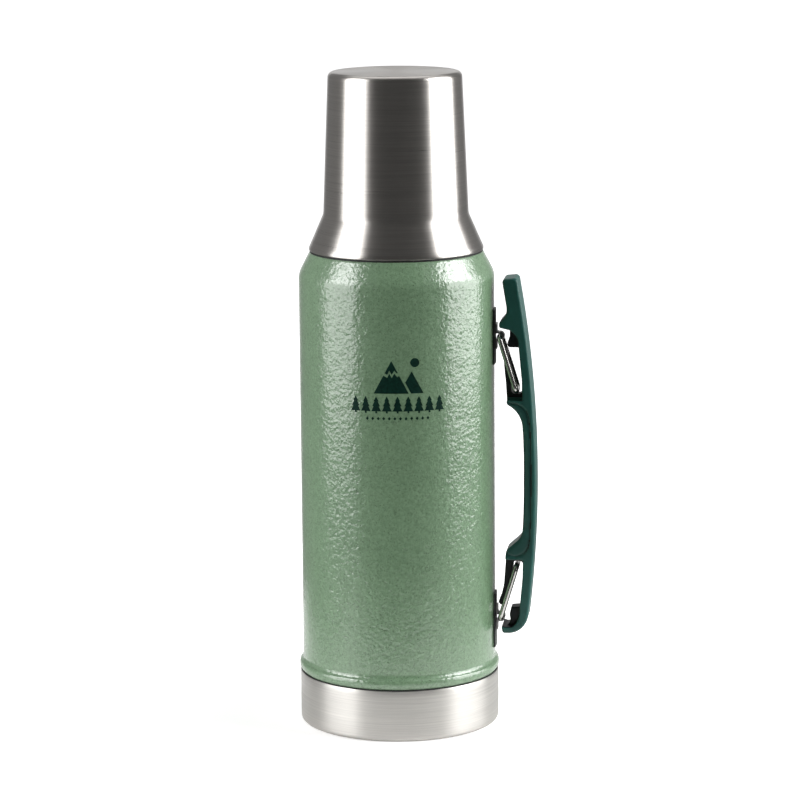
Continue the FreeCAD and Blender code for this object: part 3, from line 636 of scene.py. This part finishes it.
# ---- Printed emblem ------------------------------------------------------------------------------


EMBLEM_HEIGHT = 192.4
EMBLEM_SCALE = 1.07


def circle(cx, cy, r):
    turns = [2 * math.pi * k / 28 for k in range(28)]
    return [(cx + r * math.cos(turn), cy + r * math.sin(turn)) for turn in turns]


def emblem_shapes():
    """Two peaks and a sun over a row of pines and a row of studs, as flat outlines in
    millimetres: across to the right, up from the foot of the peaks."""
    shapes = [
        [(-6.3, 10.4), (-5.1, 9.6), (-4.0, 11.8), (-2.8, 9.6), (-1.5, 11.8), (-0.5, 10.4),
         (0.3, 10.4), (-3.0, 16.6)],
        [(-12.0, 0.0), (5.6, 0.0), (0.9, 9.1), (-0.1, 8.4), (-1.5, 10.2), (-2.8, 7.9), (-4.0, 10.2),
         (-5.1, 8.0), (-7.0, 9.2)],
        [(6.8, 0.0), (3.9, 5.6), (7.2, 11.2), (13.2, 0.0)],
        circle(8.8, 15.6, 2.3),
    ]
    for k in range(9):
        middle = -21.6 + k * 5.4
        half = [(0.45, -10.0), (0.45, -9.0), (2.5, -9.0), (1.3, -6.4), (2.0, -6.4), (0.8, -3.9),
                (1.3, -3.9), (0.0, -1.4)]
        mirrored = [(-x, y) for x, y in reversed(half[:-1])]
        shapes.append([(middle + x, y) for x, y in half + mirrored])
    for k in range(12):
        middle = -15.4 + k * 2.8
        shapes.append([(middle - 0.8, -12.7), (middle, -13.6), (middle + 0.8, -12.7),
                       (middle, -11.8)])
    return shapes


def build_emblem():
    """Thin ink laid on the enamel, cut fine enough to follow its curve and ripple."""
    build = bmesh.new()
    for shape in emblem_shapes():
        build.faces.new([build.verts.new((x * EMBLEM_SCALE, y * EMBLEM_SCALE, 0))
                         for x, y in shape])
    for axis in (Vector((1, 0, 0)), Vector((0, 1, 0))):
        for cut in np.arange(-30, 30, 1.0):
            bmesh.ops.bisect_plane(build, geom=build.verts[:] + build.edges[:] + build.faces[:],
                                   plane_co=axis * float(cut), plane_no=axis, dist=1e-5)
    bmesh.ops.triangulate(build, faces=build.faces)
    top = bmesh.ops.extrude_face_region(build, geom=build.faces[:])
    lifted = {v for v in top["geom"] if isinstance(v, bmesh.types.BMVert)}
    middle = math.radians(CAMERA_AZIMUTH - 90)
    for vert in build.verts:
        across, up = vert.co.x, vert.co.y
        theta = middle + across / BODY_RADIUS
        height = EMBLEM_HEIGHT + up
        level = BODY_RADIUS + float(enamel_relief(np.array([theta]), height)[0])
        level += 0.07 if vert in lifted else -0.05
        vert.co = Vector((level * math.cos(theta), level * math.sin(theta), height)) * MM
    bmesh.ops.recalc_face_normals(build, faces=build.faces)
    mesh = bpy.data.meshes.new("emblem_print")
    build.to_mesh(mesh)
    build.free()
    piece = bpy.data.objects.new("emblem_print", mesh)
    bpy.context.scene.collection.objects.link(piece)
    mesh.shade_smooth()
    mesh.set_sharp_from_angle(angle=math.radians(40))
    return piece


finish_piece(build_emblem(), "flask", "handle_plastic", INK)


# ---- Soft edges on the sheet-metal and moulded CAD pieces ---------------------------------------


def soften(node_name, width):
    """Joins the imported faces and rounds their edges a little."""
    piece = nodes[node_name]
    weld = piece.modifiers.new("weld", "WELD")
    weld.merge_threshold = 0.002 * MM
    bevel = piece.modifiers.new("bevel", "BEVEL")
    bevel.width = width * MM
    bevel.segments = 2
    bevel.limit_method = "ANGLE"
    bevel.angle_limit = math.radians(40)
    bevel.harden_normals = True


for end in ("upper", "lower"):
    soften(f"{end}_bracket_plate", 0.25)
    soften(f"{end}_hinge_clip", 0.15)


# ---- Studio ---------------------------------------------------------------------------------------


def stage_plane(name, size, level, colour, glow):
    """A floor whose own glow runs from the first value near the flask to the second far off."""
    bpy.ops.mesh.primitive_plane_add(size=size, location=(0, 0, level))
    plane = bpy.context.object
    plane.name = name
    s = Shader(name, colour, 0.0, 0.85, Specular_IOR_Level=0.1, Emission_Color=(1, 1, 1, 1))
    s.colour(s.ramp(s.noise(3.0, 2.0), (0.3, tuple(c * 0.985 for c in colour)), (0.7, colour)))
    reach = s.add("ShaderNodeVectorMath", operation="LENGTH")
    s.link(s.where, reach.inputs[0])
    near, far = glow
    s.link(s.ramp(reach.outputs["Value"], (0.10, near), (0.40, far)),
           s.base.inputs["Emission Strength"])
    plane.data.materials.append(s.material)
    return plane


def add_light(name, azimuth, distance, height, width, tall, radiance, aim=None):
    """A rectangular softbox of a given brightness, turned to the flask's axis. Azimuth is
    measured from the camera's side, to its right."""
    turn = math.radians(CAMERA_AZIMUTH + azimuth)
    data = bpy.data.lights.new(name, "AREA")
    data.shape = "RECTANGLE"
    data.size, data.size_y = width, tall
    data.energy = radiance * math.pi * width * tall
    lamp = bpy.data.objects.new(name, data)
    bpy.context.scene.collection.objects.link(lamp)
    lamp.location = (distance * math.sin(turn), -distance * math.cos(turn), height)
    towards = Vector((0, 0, height if aim is None else aim)) - lamp.location
    lamp.rotation_mode = "QUATERNION"
    lamp.rotation_quaternion = towards.to_track_quat("-Z", "Y")


def smooth_range(tree, source, span, values):
    """Source taken smoothly from the two ends of span to the two values."""
    made = tree.nodes.new("ShaderNodeMapRange")
    made.interpolation_type = "SMOOTHSTEP"
    for name, value in zip(("From Min", "From Max", "To Min", "To Max"), (*span, *values)):
        made.inputs[name].default_value = value
    tree.links.new(source, made.inputs["Value"])
    return made.outputs["Result"]


def build_world():
    """Dim studio in front, bright sweep behind, as seen in the flask's reflections."""
    world = bpy.data.worlds.new("studio")
    bpy.context.scene.world = world
    world.use_nodes = True
    tree = world.node_tree
    back = tree.nodes["Background"]
    where = tree.nodes.new("ShaderNodeTexCoord")
    turn = math.radians(CAMERA_AZIMUTH)
    away = tree.nodes.new("ShaderNodeVectorMath")
    away.operation = "DOT_PRODUCT"
    away.inputs[1].default_value = (-math.sin(turn), math.cos(turn), 0.0)
    tree.links.new(where.outputs["Generated"], away.inputs[0])
    sweep = smooth_range(tree, away.outputs["Value"], (0.90, 0.98), (0.0, 0.5))
    rise = smooth_range(tree, away.outputs["Value"], (-0.9, 0.7), (0.06, 0.20))
    both = tree.nodes.new("ShaderNodeMath")
    both.operation = "ADD"
    tree.links.new(sweep, both.inputs[0])
    tree.links.new(rise, both.inputs[1])
    tree.links.new(both.outputs["Value"], back.inputs["Color"])
    back.inputs["Strength"].default_value = 1.0


def build_dome():
    """Pale backdrop that only the camera sees."""
    bpy.ops.mesh.primitive_uv_sphere_add(segments=48, ring_count=24, radius=14.0)
    dome = bpy.context.object
    dome.name = "backdrop"
    material = bpy.data.materials.new("backdrop")
    material.use_nodes = True
    tree = material.node_tree
    tree.nodes.clear()
    glow = tree.nodes.new("ShaderNodeEmission")
    glow.inputs["Color"].default_value = (1, 1, 1, 1)
    glow.inputs["Strength"].default_value = 1.02
    out = tree.nodes.new("ShaderNodeOutputMaterial")
    tree.links.new(glow.outputs["Emission"], out.inputs["Surface"])
    dome.data.materials.append(material)
    for ray in ("diffuse", "glossy", "transmission", "volume_scatter", "shadow"):
        setattr(dome, f"visible_{ray}", False)


build_world()
build_dome()
floor = stage_plane("floor", 26.0, 0.0, (0.93, 0.93, 0.925), (0.42, 1.0))
for ray in ("diffuse", "glossy", "shadow"):
    setattr(floor, f"visible_{ray}", False)
sheen = stage_plane("floor_sheen", 0.50, -0.0005, (0.93, 0.93, 0.925), (0.06, 0.0))
sheen.visible_camera = False

add_light("left_box", -71.0, 1.15, 0.56, 0.95, 1.2, 2.9)
add_light("right_box", 86.0, 1.15, 0.57, 1.12, 1.16, 3.8)
add_light("left_hot", -71.0, 1.20, 1.0, 0.60, 0.8, 3.4)
add_light("right_hot", 82.0, 1.20, 1.0, 0.85, 0.8, 4.6)
add_light("top_box", 180.0, 0.5, 1.7, 1.4, 1.4, 1.0, aim=0.17)


def build_camera():
    turn = math.radians(CAMERA_AZIMUTH)
    data = bpy.data.cameras.new("camera")
    data.lens = CAMERA_LENS
    data.sensor_width = 36.0
    data.shift_x = CAMERA_SHIFT
    camera = bpy.data.objects.new("camera", data)
    bpy.context.scene.collection.objects.link(camera)
    place = Matrix.Translation(Vector((CAMERA_DISTANCE * math.sin(turn),
                                       -CAMERA_DISTANCE * math.cos(turn), CAMERA_HEIGHT)) * MM)
    look = (Matrix.Rotation(turn, 4, "Z") @ Matrix.Rotation(math.radians(90 - CAMERA_PITCH), 4, "X")
            @ Matrix.Rotation(math.radians(CAMERA_ROLL), 4, "Z"))
    camera.matrix_world = place @ look
    bpy.context.scene.camera = camera


build_camera()
bpy.context.scene.view_settings.view_transform = "Standard"
